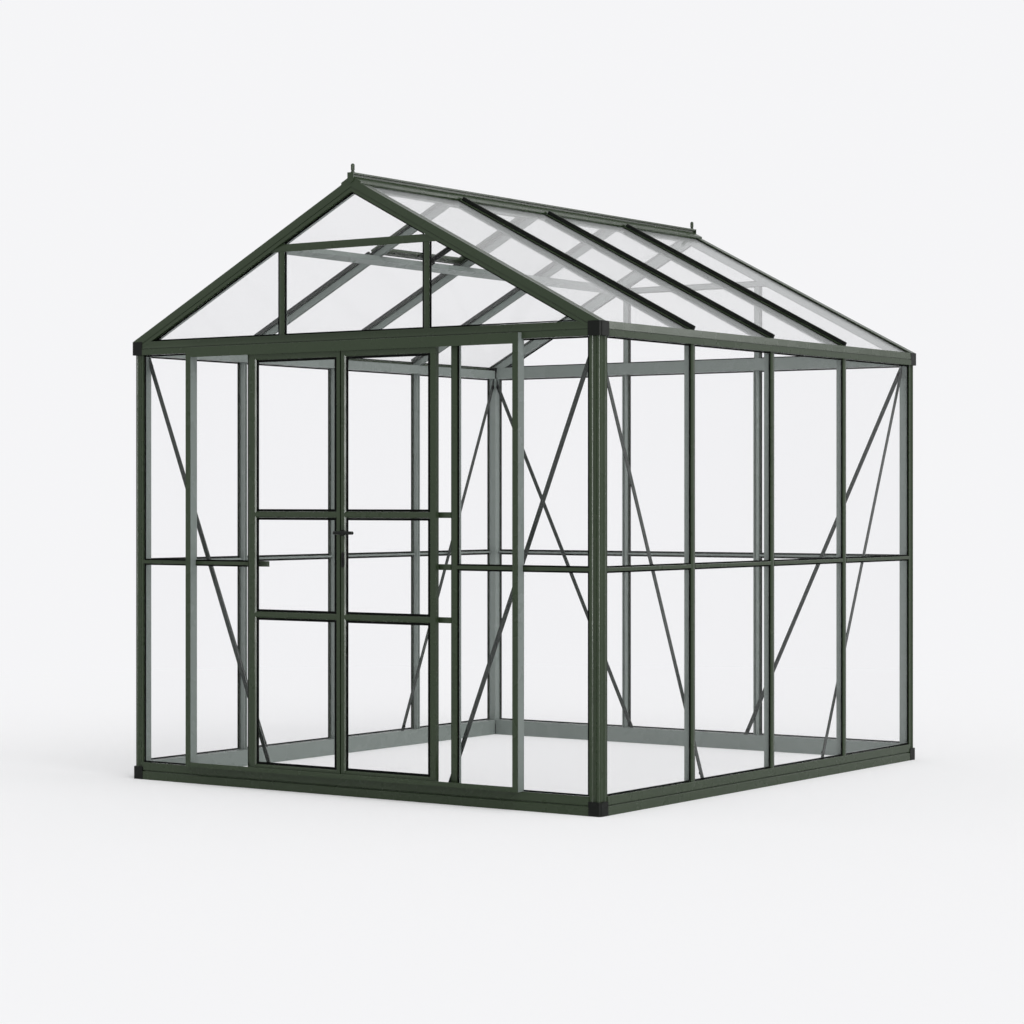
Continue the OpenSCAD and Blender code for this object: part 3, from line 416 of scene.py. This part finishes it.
def clear_glass(finishes):
    """Pane glass: light passes straight through, under a pale veil that grows at a low angle."""
    material, tree, shader, place = new_finish("pane_glass_clear")
    mix_colours(tree, noise(tree, place, GLASS_PATCHES), GLASS_VEIL, GLASS_VEIL_DEEP,
                shader.inputs["Base Color"])
    span(tree, noise(tree, place, GLASS_WEAR), GLASS_SMOOTHEST, GLASS_ROUGHEST,
         shader.inputs["Roughness"])
    waves = noise(tree, place, GLASS_WAVES, GLASS_WAVE_DETAIL)
    grain(tree, shader, waves, GLASS_WAVE_DEPTH, GLASS_WAVE_STRENGTH)
    clear = tree.nodes.new("ShaderNodeBsdfTransparent")
    clear.inputs["Color"].default_value = (*finishes.glass, 1)
    angle = tree.nodes.new("ShaderNodeLayerWeight")
    angle.inputs["Blend"].default_value = GLASS_FACING_BLEND
    bend = combine(tree, "POWER", angle.outputs["Facing"], GLASS_FACING_POWER)
    rays = tree.nodes.new("ShaderNodeLightPath")
    shadow, diffuse = rays.outputs["Is Shadow Ray"], rays.outputs["Is Diffuse Ray"]
    clear_rays = combine(tree, "MAXIMUM", shadow, diffuse)
    veil = tree.nodes.new("ShaderNodeMixShader")
    span(tree, bend, finishes.haze, finishes.haze_edge, veil.inputs["Fac"], 0.0, 1.0)
    tree.links.new(clear.outputs["BSDF"], veil.inputs[1])
    tree.links.new(shader.outputs["BSDF"], veil.inputs[2])
    shade = tree.nodes.new("ShaderNodeMixShader")
    tree.links.new(clear_rays, shade.inputs["Fac"])
    tree.links.new(veil.outputs["Shader"], shade.inputs[1])
    tree.links.new(clear.outputs["BSDF"], shade.inputs[2])
    tree.links.new(shade.outputs["Shader"], tree.nodes["Material Output"].inputs["Surface"])
    return material


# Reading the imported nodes

def solids(name):
    """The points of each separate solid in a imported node, whose triangles share no points."""
    mesh = NODES[name].data
    keys = [tuple(round(part, 5) for part in vertex.co) for vertex in mesh.vertices]
    group = {key: key for key in keys}

    def find(key):
        while group[key] != key:
            group[key] = group[group[key]]
            key = group[key]
        return key

    for polygon in mesh.polygons:
        first = find(keys[polygon.vertices[0]])
        for index in polygon.vertices[1:]:
            group[find(keys[index])] = first
    found = {}
    for key in group:
        found.setdefault(find(key), []).append(Vector(key))
    return [found[key] for key in sorted(found)]


def corners(points):
    """The lowest and highest corner of some points."""
    low = Vector([min(point[axis] for point in points) for axis in range(3)])
    high = Vector([max(point[axis] for point in points) for axis in range(3)])
    return low, high


def thin_axis(low, high):
    """The axis, x or y, across an upright piece in a wall."""
    return 0 if high.x - low.x < high.y - low.y else 1


def roof_normal(side):
    """The outward direction of a roof slope."""
    return Vector((side * math.sin(PITCH), 0, math.cos(PITCH)))


# Modelling steps

def start_plane(centre, size, turn):
    """A plane of a given size, place and turn, with all of that in its mesh."""
    bpy.ops.object.select_all(action="DESELECT")
    bpy.ops.mesh.primitive_plane_add(size=1, location=centre, rotation=turn)
    plane = bpy.context.object
    plane.scale = (size[0], size[1], 1)
    bpy.ops.object.transform_apply(location=True, rotation=True, scale=True)
    return plane


def seal_ring(centre, size, turn, width, thick, cuts=()):
    """A rubber ring on a pane: a plane, cut to the pane, inset, opened and thickened."""
    ring = start_plane(centre, size, turn)
    bpy.ops.object.mode_set(mode="EDIT")
    for point, outward in cuts:
        bpy.ops.mesh.select_all(action="SELECT")
        bpy.ops.mesh.bisect(plane_co=point, plane_no=outward, clear_outer=True)
    bpy.ops.mesh.select_all(action="SELECT")
    bpy.ops.mesh.inset(thickness=width)
    bpy.ops.mesh.delete(type="FACE")
    bpy.ops.object.mode_set(mode="OBJECT")
    wall = ring.modifiers.new("wall", "SOLIDIFY")
    wall.thickness = thick
    wall.offset = 1.0
    bpy.ops.object.modifier_apply(modifier=wall.name)
    return ring


def draw_out(shift):
    """Extrude the selected faces of the piece in edit mode."""
    bpy.ops.mesh.extrude_region_move(TRANSFORM_OT_translate={"value": shift})


def face_outwards():
    """Select all faces of the piece in edit mode and turn them outwards."""
    bpy.ops.mesh.select_all(action="SELECT")
    bpy.ops.mesh.normals_make_consistent(inside=False)


def round_edges(piece, width, segments):
    """Round the edges of a piece."""
    edges = piece.modifiers.new("edges", "BEVEL")
    edges.width = width
    edges.segments = segments
    bpy.ops.object.modifier_apply(modifier=edges.name)


def join_pieces(pieces, name):
    """Join some pieces into one, with its place in its mesh."""
    bpy.ops.object.select_all(action="DESELECT")
    for piece in pieces:
        piece.select_set(True)
    bpy.context.view_layer.objects.active = pieces[0]
    if len(pieces) > 1:
        bpy.ops.object.join()
    piece = bpy.context.object
    piece.name = name
    piece.data.name = name
    return piece


def set_finish(piece, material):
    """Make a material the only one of a piece."""
    piece.data.materials.clear()
    piece.data.materials.append(material)


def hand_over(piece, finish, body):
    """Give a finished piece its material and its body."""
    set_finish(piece, bpy.data.materials[finish])
    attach(piece, body)


def bolt_head(trim):
    """A hexagon head with a chamfered top on a round washer, standing on the plane z = 0."""
    bpy.ops.object.select_all(action="DESELECT")
    bpy.ops.mesh.primitive_cylinder_add(
        vertices=HEAD_SIDES, radius=trim.bolt_radius, depth=trim.bolt_height,
        location=(0, 0, trim.bolt_height / 2 + WASHER_THICK))
    head = bpy.context.object
    bpy.ops.object.transform_apply(location=True)
    bpy.ops.object.mode_set(mode="EDIT")
    bpy.ops.mesh.select_all(action="DESELECT")
    bpy.ops.object.mode_set(mode="OBJECT")
    for face in head.data.polygons:
        face.select = face.normal.z > FACES_UP
    bpy.ops.object.mode_set(mode="EDIT")
    bpy.ops.mesh.inset(thickness=trim.bolt_radius * HEAD_INSET_RATIO)
    bpy.ops.transform.translate(value=(0, 0, trim.bolt_height * HEAD_RISE_RATIO))
    bpy.ops.object.mode_set(mode="OBJECT")
    bpy.ops.object.select_all(action="DESELECT")
    bpy.ops.mesh.primitive_cylinder_add(
        vertices=WASHER_SIDES, radius=trim.bolt_radius * WASHER_RATIO, depth=WASHER_THICK,
        location=(0, 0, WASHER_THICK / 2))
    washer = bpy.context.object
    bpy.ops.object.transform_apply(location=True)
    bpy.ops.object.mode_set(mode="EDIT")
    bpy.ops.mesh.select_all(action="SELECT")
    bpy.ops.mesh.bevel(offset=WASHER_EDGE, segments=1)
    bpy.ops.object.mode_set(mode="OBJECT")
    return join_pieces([head, washer], "bolt_pattern")


def copies(pattern, places, name):
    """Copies of a pattern at some points, with z along a direction each, joined into one."""
    made = []
    for point, direction in places:
        piece = pattern.copy()
        piece.data = pattern.data.copy()
        bpy.context.scene.collection.objects.link(piece)
        turn = Vector((0, 0, 1)).rotation_difference(direction).to_matrix().to_4x4()
        piece.data.transform(Matrix.Translation(point) @ turn)
        made.append(piece)
    bpy.data.objects.remove(pattern)
    return join_pieces(made, name)


# Operators

class GREENHOUSE_OT_finish_nodes(Operator):
    """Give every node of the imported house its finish."""

    bl_idname = "greenhouse.finish_nodes"
    bl_label = "Finish the packed nodes"

    def execute(self, context):
        finishes = context.scene.greenhouse_finishes
        dark = {name: dark_finish(name, getattr(finishes, colour), *values)
                for name, (colour, *values) in DARK_FINISHES.items()}
        by_slot = {
            "green_frame": powder_coat("powder_coat_green", finishes, finishes.inner),
            "glass": clear_glass(finishes),
            "black_plastic": dark["corner_plastic_black"],
            "black_fittings": dark["fittings_black_metal"],
        }
        for part in frame["record"]["subparts"]:
            set_finish(NODES[part["node"]], by_slot[part["material_slot"]])
        brace_coat = powder_coat("brace_coat_dark", finishes, finishes.brace)
        set_finish(NODES["wall_braces"], brace_coat)
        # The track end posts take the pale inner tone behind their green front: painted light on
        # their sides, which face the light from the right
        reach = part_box("front_wall_glass")[0][1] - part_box("track_end_posts")[0][1] - POST_FACE
        post_coat_lit_sides = powder_coat("post_coat_green", finishes, finishes.inner, reach)
        set_finish(NODES["track_end_posts"], post_coat_lit_sides)
        return {"FINISHED"}


class GREENHOUSE_OT_wall_seals(Operator):
    """Lay a black rubber seal around the daylight opening of every wall pane."""

    bl_idname = "greenhouse.wall_seals"
    bl_label = "Wall seals"

    def execute(self, context):
        trim = context.scene.greenhouse_trim
        for name, (across, side) in WALLS.items():
            turn = WALL_TURNS[across, side]
            along = 1 - across
            rings = []
            for points in solids(name):
                low, high = corners(points)
                lower = low.z < FLOOR_Z + LOWER_PANE_BELOW
                low[along] += trim.bar_cover
                high[along] -= trim.bar_cover
                low.z += trim.seat if lower else trim.rail_cover
                high.z -= trim.rail_cover if lower else trim.seat
                centre = (low + high) / 2
                centre[across] = high[across] if side > 0 else low[across]
                length, height = high[along] - low[along], high.z - low.z
                size = (length, height) if across == 1 else (height, length)
                rings.append(seal_ring(centre, size, turn, trim.seal_width, trim.seal_thick))
            seals = join_pieces(rings, name.replace("glass", "seals"))
            hand_over(seals, "seal_rubber_black", "house")
        return {"FINISHED"}


class GREENHOUSE_OT_door_seals(Operator):
    """Lay the seals around the door panes and the brush where the doors meet."""

    bl_idname = "greenhouse.door_seals"
    bl_label = "Door seals"

    def execute(self, context):
        trim = context.scene.greenhouse_trim
        for body in ("left_door", "right_door"):
            rings = []
            for points in solids(body + "_glass"):
                low, high = corners(points)
                centre = (low + high) / 2
                centre.y = low.y
                size = [high[axis] - low[axis] - 2 * trim.leaf_cover for axis in (0, 2)]
                rings.append(seal_ring(centre, size, WALL_TURNS[1, -1], trim.door_seal_width,
                                       trim.seal_thick))
            seals = join_pieces(rings, body + "_seals")
            hand_over(seals, "seal_rubber_black", body)
        self.brush(trim)
        return {"FINISHED"}

    def brush(self, trim):
        """A strip of brush along the meeting edge of the right-hand door."""
        low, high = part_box("right_door_frame")
        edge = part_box("left_door_frame")[1][0]
        middle = (edge + low[0]) / 2
        centre = (middle, (low[1] + high[1]) / 2, (low[2] + high[2]) / 2)
        size = (trim.brush, high[2] - low[2] - BRUSH_END_GAP)
        strip = start_plane(centre, size, WALL_TURNS[1, -1])
        bpy.ops.object.mode_set(mode="EDIT")
        bpy.ops.mesh.select_all(action="SELECT")
        draw_out((0, (high[1] - low[1]) * BRUSH_DEPTH_RATIO, 0))
        face_outwards()
        bpy.ops.mesh.bevel(offset=BRUSH_EDGE, segments=2)
        bpy.ops.object.mode_set(mode="OBJECT")
        strip = join_pieces([strip], "door_meeting_brush")
        hand_over(strip, "brush_fibre_black", "right_door")


class GREENHOUSE_OT_gable_seals(Operator):
    """Lay the seals around the panes of both gables, cut along the rafters."""

    bl_idname = "greenhouse.gable_seals"
    bl_label = "Gable seals"

    def execute(self, context):
        trim = context.scene.greenhouse_trim
        groups = {"front": [], "back": []}
        for points in solids("gable_glass"):
            low, high = corners(points)
            front = low.y < MIDDLE[1]
            turn = WALL_TURNS[1, -1 if front else 1]
            cuts = []
            if low.x * high.x > 0 or high.z > EAVE_TOP + TOP_PANE_ABOVE:
                cuts = self.slope_cuts(points, trim)
            centre = (low + high) / 2
            centre.y = low.y if front else high.y
            size = (high.x - low.x - 2 * trim.bar_cover, high.z - low.z - 2 * trim.seat)
            ring = seal_ring(centre, size, turn, trim.seal_width, trim.seal_thick, cuts)
            groups["front" if front else "back"].append(ring)
        for name, rings in groups.items():
            seals = join_pieces(rings, name + "_gable_seals")
            hand_over(seals, "seal_rubber_black", "house")
        return {"FINISHED"}

    def slope_cuts(self, points, trim):
        """The cutting planes along the slanted top edges of a pane."""
        slope = math.tan(PITCH)
        cuts = []
        for side in (-1, 1):
            reach = max(point.z + slope * side * point.x for point in points)
            touches = [p for p in points if abs(p.z + slope * side * p.x - reach) < ONE_PLANE]
            heights = {round(p.z, 4) for p in touches}
            if len(heights) > 1:
                outward = Vector((side * slope, 0, 1)).normalized()
                point = Vector((0, 0, reach)) - outward * trim.seat
                cuts.append((point, outward))
        return cuts


class GREENHOUSE_OT_roof_seals(Operator):
    """Lay the seals beside the roof bars and along the edges of the roof panes."""

    bl_idname = "greenhouse.roof_seals"
    bl_label = "Roof seals"

    def execute(self, context):
        trim = context.scene.greenhouse_trim
        for name, side in (("roof_glass_left", -1), ("roof_glass_right", 1)):
            rings = []
            outward = roof_normal(side)
            for points in solids(name):
                lift = max(point.dot(outward) for point in points)
                face = [point for point in points if lift - point.dot(outward) < ONE_PLANE]
                centre = sum(face, Vector()) / len(face)
                first, last = corners(face)
                length = math.hypot(last.x - first.x, last.z - first.z) - 2 * trim.bar_cover
                width = last.y - first.y - 2 * trim.bar_cover
                rings.append(seal_ring(centre, (length, width), (0, side * PITCH, 0),
                                       trim.roof_seal_width, trim.seal_thick))
            seals = join_pieces(rings, name.replace("glass", "seals"))
            hand_over(seals, "seal_rubber_black", "house")
        return {"FINISHED"}


class GREENHOUSE_OT_mid_rails(Operator):
    """Model the slim rails half-way up the walls: a cap with a narrower stem behind it."""

    bl_idname = "greenhouse.mid_rails"
    bl_label = "Mid rails"

    def execute(self, context):
        trim = context.scene.greenhouse_trim
        rails = []
        for points in solids("mid_rails"):
            low, high = corners(points)
            across = thin_axis(low, high)
            centre = (low + high) / 2
            side = 1 if centre[across] > MIDDLE[across] else -1
            depth = high[across] - low[across] - trim.seat
            length = high[1 - across] - low[1 - across]
            centre[across] = (high[across] if side > 0 else low[across]) - side * trim.seat
            size = (length, trim.rail_height) if across == 1 else (trim.rail_height, length)
            rails.append(self.rail(trim, centre, size, across, side, depth))
        rails = join_pieces(rails, "mid_rails_slim")
        hand_over(rails, "powder_coat_green", "house")
        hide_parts("mid_rails")
        return {"FINISHED"}

    def rail(self, trim, centre, size, across, side, depth):
        """One rail: its outer face, drawn inwards to a cap, narrowed and drawn on to a stem."""
        rail = start_plane(centre, size, WALL_TURNS[across, side])
        inward = Vector((0, 0, 0))
        inward[across] = -side
        bpy.ops.object.mode_set(mode="EDIT")
        bpy.ops.mesh.select_all(action="SELECT")
        draw_out(inward * trim.rail_cap)
        draw_out((0, 0, 0))
        bpy.ops.transform.resize(value=(1, 1, RAIL_STEM_RATIO))
        draw_out(inward * (depth - trim.rail_cap))
        face_outwards()
        bpy.ops.object.mode_set(mode="OBJECT")
        round_edges(rail, RAIL_EDGE, 2)
        return rail


class GREENHOUSE_OT_roof_cappings(Operator):
    """Lay a black capping strip on every roof bar, from the ridge or the vent to the eave: the
    strips make the bars taller, and their black is painted shade, standing in for the shade on the
    bars' front sides.
    """

    bl_idname = "greenhouse.roof_cappings"
    bl_label = "Roof bar cappings"

    def execute(self, context):
        trim = context.scene.greenhouse_trim
        wing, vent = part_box("ridge"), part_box("roof_vent_frame")
        for name, side in (("roof_bars_left", -1), ("roof_bars_right", 1)):
            outward = roof_normal(side)
            down = Vector((side * math.cos(PITCH), 0, -math.sin(PITCH)))
            strips = []
            for points in solids(name):
                low, high = corners(points)
                lift = max(point.dot(outward) for point in points)
                middle = (low.y + high.y) / 2
                near, far = vent[0][1] - trim.capping_width, vent[1][1] + trim.capping_width
                above = vent if side < 0 and near < middle < far else wing
                stop = max(abs(corner[0]) for corner in above) + trim.capping_stop
                head = (stop - math.sin(PITCH) * lift) / math.cos(PITCH)
                top = [point for point in points if lift - point.dot(outward) < BAR_TOP_DEPTH]
                foot = max(point.dot(down) for point in top)
                centre = outward * (lift - CAPPING_SEAT) + down * (head + foot) / 2
                centre.y = middle
                strips.append(self.strip(trim, centre, foot - head, side, outward))
            strips = join_pieces(strips, name.replace("bars", "cappings"))
            hand_over(strips, "capping_rubber_black", "house")
        return {"FINISHED"}

    def strip(self, trim, centre, length, side, outward):
        """One strip: a plane along the bar, drawn up, narrowed at the top and rounded."""
        strip = start_plane(centre, (length, trim.capping_width), (0, side * PITCH, 0))
        bpy.ops.object.mode_set(mode="EDIT")
        bpy.ops.mesh.select_all(action="SELECT")
        draw_out(outward * trim.capping_height)
        bpy.ops.transform.resize(value=(1, CAPPING_TOP_RATIO, 1))
        face_outwards()
        bpy.ops.object.mode_set(mode="OBJECT")
        round_edges(strip, CAPPING_EDGE, 3)
        return strip


class GREENHOUSE_OT_bolts(Operator):
    """Bolt the wall braces at both ends, on the inside of the walls."""

    bl_idname = "greenhouse.bolts"
    bl_label = "Brace bolts"

    def execute(self, context):
        trim = context.scene.greenhouse_trim
        places = []
        for points in solids("wall_braces"):
            low, high = corners(points)
            across = thin_axis(low, high)
            inward = Vector((0, 0, 0))
            inward[across] = 1 if MIDDLE[across] > low[across] else -1
            inner = high[across] if inward[across] > 0 else low[across]
            top = [p for p in points if p.z > (low.z + high.z) / 2]
            foot = [p for p in points if p.z <= (low.z + high.z) / 2]
            ends = [sum(part, Vector()) / len(part) for part in (top, foot)]
            for end, other in (ends, ends[::-1]):
                point = end + (other - end).normalized() * BOLT_INSET
                point[across] = inner
                places.append((point, inward))
        bolts = copies(bolt_head(trim), places, "brace_bolts")
        hand_over(bolts, "fittings_black_metal", "house")
        return {"FINISHED"}


class GREENHOUSE_OT_stage(Operator):
    """Set the floor, the world, the lights and the camera."""

    bl_idname = "greenhouse.stage"
    bl_label = "Set the stage"

    def execute(self, context):
        stage = context.scene.greenhouse_stage
        self.floor(stage)
        self.world(context, stage)
        self.lights(context, stage)
        self.camera(context, stage)
        context.scene.view_settings.view_transform = "Standard"
        return {"FINISHED"}

    def floor(self, stage):
        """A plain pale floor that fades into the backdrop with the distance from the house."""
        floor = start_plane((0, 0, FLOOR_Z), (stage.floor_size, stage.floor_size), (0, 0, 0))
        floor.name = "studio_floor"
        material, tree, shader, place = new_finish("studio_floor_pale")
        patches = noise(tree, place, FLOOR_PATCHES)
        mix_colours(tree, patches, *FLOOR_TONES, shader.inputs["Base Color"])
        shader.inputs["Roughness"].default_value = FLOOR_ROUGHNESS
        shader.inputs["Specular IOR Level"].default_value = 0.0
        glow = tree.nodes.new("ShaderNodeEmission")
        glow.inputs["Color"].default_value = (*stage.backdrop, 1)
        length = tree.nodes.new("ShaderNodeVectorMath")
        length.operation = "LENGTH"
        tree.links.new(place, length.inputs[0])
        fade = tree.nodes.new("ShaderNodeMixShader")
        span(tree, length.outputs["Value"], FADE_NEAR, FADE_FAR, fade.inputs["Fac"],
             FADE_FROM, FADE_TO)
        tree.links.new(shader.outputs["BSDF"], fade.inputs[1])
        tree.links.new(glow.outputs["Emission"], fade.inputs[2])
        tree.links.new(fade.outputs["Shader"], tree.nodes["Material Output"].inputs["Surface"])
        floor.data.materials.append(material)

    def world(self, context, stage):
        """An even pale surround, with a lower strength for the light that it gives."""
        world = bpy.data.worlds.new("studio_world")
        context.scene.world = world
        world.use_nodes = True
        tree = world.node_tree
        shown = tree.nodes["Background"]
        shown.inputs["Color"].default_value = (*stage.backdrop, 1)
        shown.inputs["Strength"].default_value = 1.0
        light = tree.nodes.new("ShaderNodeBackground")
        light.inputs["Color"].default_value = (1, 1, 1, 1)
        light.inputs["Strength"].default_value = stage.sky
        rays = tree.nodes.new("ShaderNodeLightPath")
        camera, glossy = rays.outputs["Is Camera Ray"], rays.outputs["Is Glossy Ray"]
        seen = combine(tree, "MAXIMUM", camera, glossy)
        seen = combine(tree, "MAXIMUM", seen, rays.outputs["Is Transmission Ray"])
        mix = tree.nodes.new("ShaderNodeMixShader")
        tree.links.new(seen, mix.inputs["Fac"])
        tree.links.new(light.outputs["Background"], mix.inputs[1])
        tree.links.new(shown.outputs["Background"], mix.inputs[2])
        tree.links.new(mix.outputs["Shader"], tree.nodes["World Output"].inputs["Surface"])

    def lights(self, context, stage):
        """A broad soft key light from the upper right, and two soft boxes for the coat's sheen."""
        key = bpy.data.lights.new("key_light", "SUN")
        key.energy = stage.sun
        key.angle = KEY_SPREAD
        lamp = bpy.data.objects.new("key_light", key)
        lamp.rotation_euler = KEY_TURN
        context.scene.collection.objects.link(lamp)
        self.soft_box(context, "strip_light", stage.strip, STRIP_SIZE, STRIP_PLACE, STRIP_TURN)
        self.soft_box(context, "rim_light", stage.rim, RIM_SIZE, RIM_PLACE, RIM_TURN)

    def soft_box(self, context, name, power, size, place, turn):
        """A soft box that shows only as a sheen on the frame."""
        box = bpy.data.lights.new(name, "AREA")
        box.shape = "RECTANGLE"
        box.size, box.size_y = size
        box.energy = power
        lamp = bpy.data.objects.new(name, box)
        lamp.visible_diffuse = False
        lamp.visible_camera = False
        lamp.location = place
        lamp.rotation_euler = turn
        context.scene.collection.objects.link(lamp)

    def camera(self, context, stage):
        """A level camera at the photograph's place and angle."""
        data = bpy.data.cameras.new("photo_camera")
        data.lens = stage.lens
        data.sensor_width = FILM_WIDTH
        data.shift_y = stage.rise
        data.clip_end = VIEW_REACH
        camera = bpy.data.objects.new("photo_camera", data)
        camera.location = (stage.camera_x, FRONT_Y - stage.camera_y, stage.camera_z)
        camera.rotation_euler = (QUARTER, 0, stage.camera_turn)
        context.scene.collection.objects.link(camera)
        context.scene.camera = camera


class GREENHOUSE_PT_dressing(Panel):
    """Steps that dress the greenhouse."""

    bl_idname = "GREENHOUSE_PT_dressing"
    bl_label = "Greenhouse"
    bl_space_type = "VIEW_3D"
    bl_region_type = "UI"
    bl_category = "Greenhouse"

    def draw(self, context):
        for step in STEPS:
            self.layout.operator(step.bl_idname)


def roof_pitch():
    """The pitch of the roof, from the corners of a right-hand roof pane."""
    points = solids("roof_glass_right")[0]
    foot = max(points, key=lambda point: point.x)
    head = max(points, key=lambda point: point.z)
    return math.atan2(head.z - foot.z, foot.x - head.x)


PITCH = roof_pitch()
STEPS = (GREENHOUSE_OT_finish_nodes, GREENHOUSE_OT_wall_seals, GREENHOUSE_OT_door_seals,
         GREENHOUSE_OT_gable_seals, GREENHOUSE_OT_roof_seals, GREENHOUSE_OT_mid_rails,
         GREENHOUSE_OT_roof_cappings, GREENHOUSE_OT_bolts, GREENHOUSE_OT_stage)
GROUPS = {"greenhouse_finishes": GreenhouseFinishes, "greenhouse_trim": GreenhouseTrim,
          "greenhouse_stage": GreenhouseStage}
CLASSES = (*GROUPS.values(), *STEPS, GREENHOUSE_PT_dressing)


def register():
    """Register the classes and hang the settings on the scene."""
    for cls in CLASSES:
        bpy.utils.register_class(cls)
    for name, group in GROUPS.items():
        setattr(bpy.types.Scene, name, PointerProperty(type=group))


def unregister():
    """Remove the settings and the classes."""
    for name in GROUPS:
        delattr(bpy.types.Scene, name)
    for cls in reversed(CLASSES):
        bpy.utils.unregister_class(cls)


def main():
    """Register and run each step in order."""
    register()
    bpy.ops.greenhouse.finish_nodes()
    bpy.ops.greenhouse.wall_seals()
    bpy.ops.greenhouse.door_seals()
    bpy.ops.greenhouse.gable_seals()
    bpy.ops.greenhouse.roof_seals()
    bpy.ops.greenhouse.mid_rails()
    bpy.ops.greenhouse.roof_cappings()
    bpy.ops.greenhouse.bolts()
    bpy.ops.greenhouse.stage()


if __name__ == "__main__":
    main()
